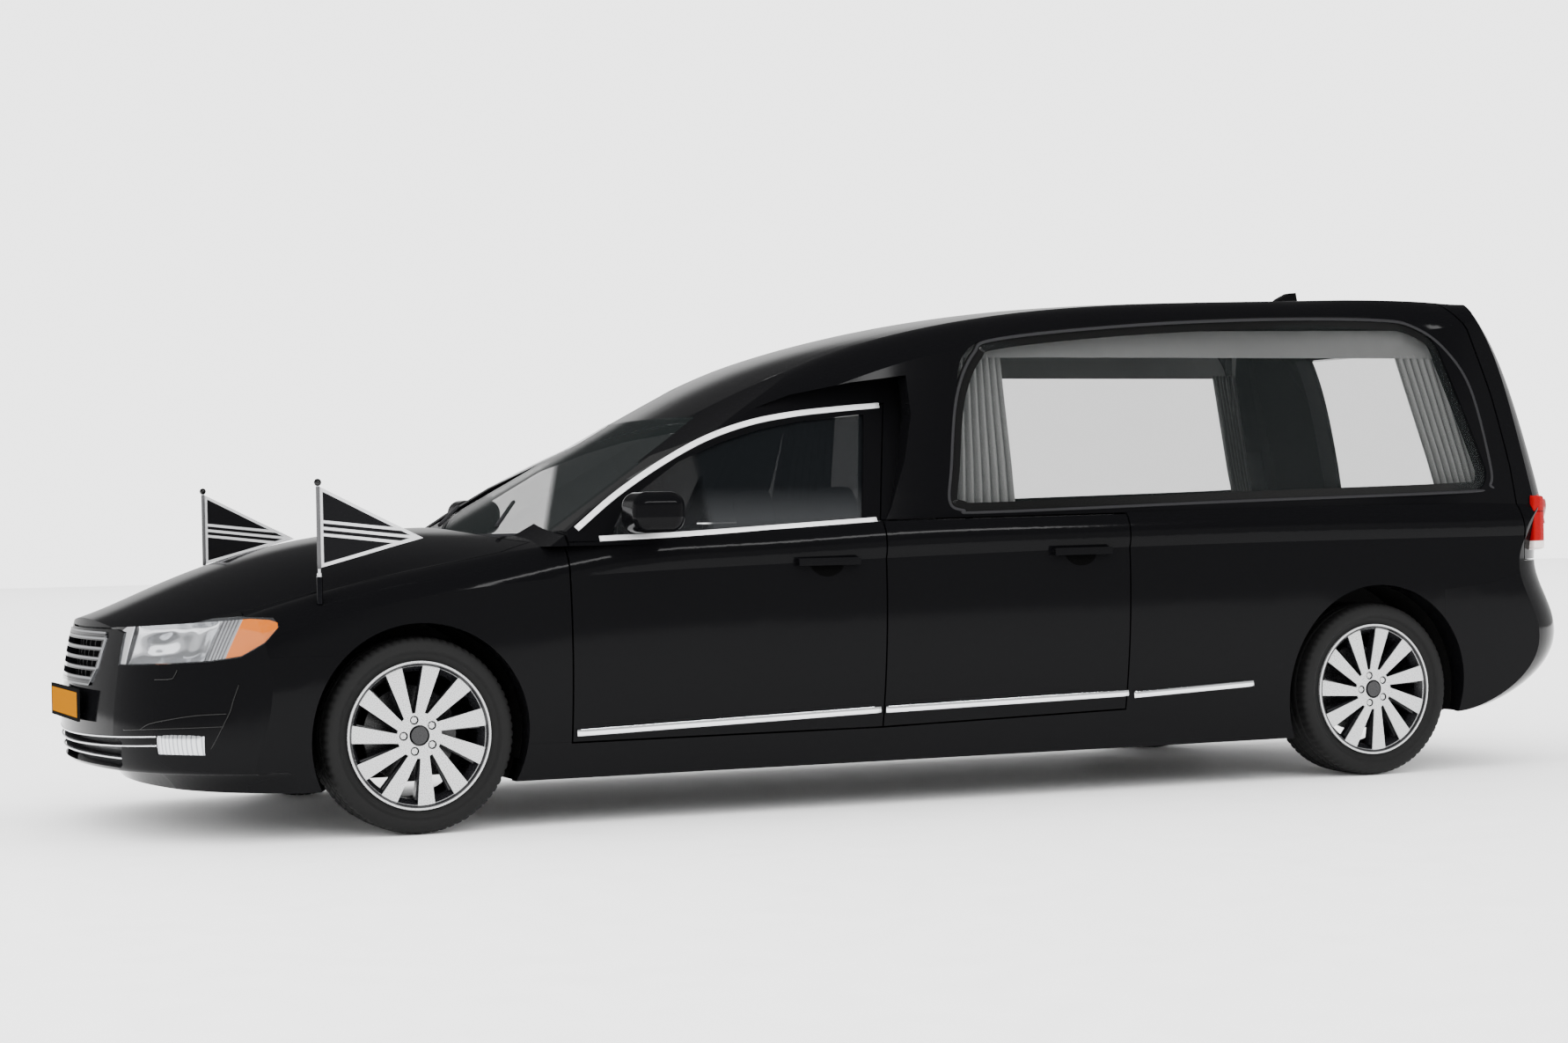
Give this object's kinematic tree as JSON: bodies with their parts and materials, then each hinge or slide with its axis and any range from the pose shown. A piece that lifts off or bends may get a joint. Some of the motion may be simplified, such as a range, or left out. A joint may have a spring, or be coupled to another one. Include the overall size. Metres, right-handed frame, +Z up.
{
  "type": "hearse",
  "caption": "Gloss-black estate hearse with a tall glazed load space, hinged doors, lifting tailgate and bonnet, steered wheels, curtains and fender flags.",
  "frame": {"origin": "on the floor under the middle of the overall box", "axes": "+X towards the nose, +Y to the left of someone driving, +Z up"},
  "size_m": [5.8472, 2.173, 1.9049],
  "materials": {
    "body_paint": "gloss black lacquer",
    "glass": "clear glass with a slight tint",
    "lamp_clear": "clear lamp lens",
    "lamp_red": "red lamp lens",
    "dark_plastic": "grained dark plastic",
    "gloss_black": "gloss black plastic",
    "chrome": "bright chrome",
    "under_steel": "underbody coating",
    "iron": "cast iron",
    "engine": "cast block",
    "rim": "machined cast aluminium",
    "tyre": "black rubber",
    "plate_yellow": "blank yellow plate",
    "flag_cloth": "black cloth with grey stripes",
    "trim_grey": "grey lining",
    "curtain": "light grey pleated cloth",
    "deck_wood": "dark varnished wood",
    "leather": "dark leather"
  },
  "bodies": {
    "body": {"fender_left": "body_paint", "fender_right": "body_paint", "head_lamp_left": "lamp_clear", "head_lamp_right": "lamp_clear", "body_side_left": "body_paint", "body_side_right": "body_paint", "cowl": "dark_plastic", "roof": "body_paint", "windscreen": "glass", "rear_bumper": "body_paint", "floor_pan": "under_steel", "front_bumper": "body_paint", "fog_lamps": "lamp_clear", "grille": "chrome", "grille_back": "dark_plastic", "lower_grille": "dark_plastic", "front_plate": "plate_yellow", "front_suspension": "under_steel", "rear_axle": "under_steel", "engine": "engine", "wheel_liners": "dark_plastic", "flag_poles": "chrome", "flag_left": "flag_cloth", "flag_right": "flag_cloth", "bulkhead": "under_steel", "partition": "trim_grey", "deck": "deck_wood", "curtains_left": "curtain", "curtains_right": "curtain", "side_glass_left": "glass", "side_glass_right": "glass", "front_seat_left": "leather", "front_seat_right": "leather", "dashboard": "dark_plastic", "exhaust": "under_steel"},
    "bonnet": {"bonnet": "body_paint"},
    "tailgate": {"tailgate": "body_paint", "tailgate_glass": "glass", "tail_lamps": "lamp_red", "rear_plate": "plate_yellow"},
    "front_door_left": {"front_door_left": "body_paint", "front_door_glass_left": "glass", "door_mirror_left": "gloss_black"},
    "front_door_right": {"front_door_right": "body_paint", "front_door_glass_right": "glass", "door_mirror_right": "gloss_black"},
    "rear_door_left": {"rear_door_left": "body_paint"},
    "rear_door_right": {"rear_door_right": "body_paint"},
    "knuckle_left": {"knuckle_left": "iron"},
    "knuckle_right": {"knuckle_right": "iron"},
    "steering_wheel": {"steering_wheel": "dark_plastic"},
    "wheel_front_left": {"rim_front_left": "rim", "tyre_front_left": "tyre"},
    "wheel_front_right": {"rim_front_right": "rim", "tyre_front_right": "tyre"},
    "wheel_rear_left": {"rim_rear_left": "rim", "tyre_rear_left": "tyre"},
    "wheel_rear_right": {"rim_rear_right": "rim", "tyre_rear_right": "tyre"}
  },
  "joints": [
    {"name": "steer_left", "type": "hinge", "parent": "body", "child": "knuckle_left", "pos_m": [1.9155, 0.706, 0.327], "axis": [0, 0, 1], "range_deg": [-33, 33]},
    {"name": "steer_right", "type": "hinge", "parent": "body", "child": "knuckle_right", "pos_m": [1.9155, -0.706, 0.327], "axis": [0, 0, 1], "range_deg": [-33.5, 33.5]},
    {"name": "steering_wheel_turn", "type": "hinge", "parent": "body", "child": "steering_wheel", "pos_m": [0.9005, 0.375, 0.868], "axis": [-0.9135, 0, 0.4067], "range_deg": [-463, 463]},
    {"name": "spin_front_left", "type": "hinge", "parent": "knuckle_left", "child": "wheel_front_left", "pos_m": [1.9155, 0.78, 0.327], "axis": [0, 1, 0], "continuous": true},
    {"name": "spin_rear_left", "type": "hinge", "parent": "body", "child": "wheel_rear_left", "pos_m": [-1.8495, 0.78, 0.327], "axis": [0, 1, 0], "continuous": true},
    {"name": "spin_front_right", "type": "hinge", "parent": "knuckle_right", "child": "wheel_front_right", "pos_m": [1.9155, -0.78, 0.327], "axis": [0, 1, 0], "continuous": true},
    {"name": "spin_rear_right", "type": "hinge", "parent": "body", "child": "wheel_rear_right", "pos_m": [-1.8495, -0.78, 0.327], "axis": [0, 1, 0], "continuous": true},
    {"name": "front_door_left_swing", "type": "hinge", "parent": "body", "child": "front_door_left", "pos_m": [1.3875, 0.9365, 0.65], "axis": [0, 0, -1], "range_deg": [0, 65]},
    {"name": "rear_door_left_swing", "type": "hinge", "parent": "body", "child": "rear_door_left", "pos_m": [0.2075, 0.9365, 0.65], "axis": [0, 0, -1], "range_deg": [0, 65]},
    {"name": "front_door_right_swing", "type": "hinge", "parent": "body", "child": "front_door_right", "pos_m": [1.3875, -0.9365, 0.65], "axis": [0, 0, 1], "range_deg": [0, 65]},
    {"name": "rear_door_right_swing", "type": "hinge", "parent": "body", "child": "rear_door_right", "pos_m": [0.2075, -0.9365, 0.65], "axis": [0, 0, 1], "range_deg": [0, 65]},
    {"name": "tailgate_lift", "type": "hinge", "parent": "body", "child": "tailgate", "pos_m": [-2.3065, 0, 1.855], "axis": [0, 1, 0], "range_deg": [0, 85]},
    {"name": "bonnet_lift", "type": "hinge", "parent": "body", "child": "bonnet", "pos_m": [1.3555, 0, 1], "axis": [0, -1, 0], "range_deg": [0, 50]}
  ],
  "couplings": [
    {"joint": "steer_right", "follows": "steer_left", "ratio": 1},
    {"joint": "steering_wheel_turn", "follows": "steer_left", "ratio": 14}
  ]
}
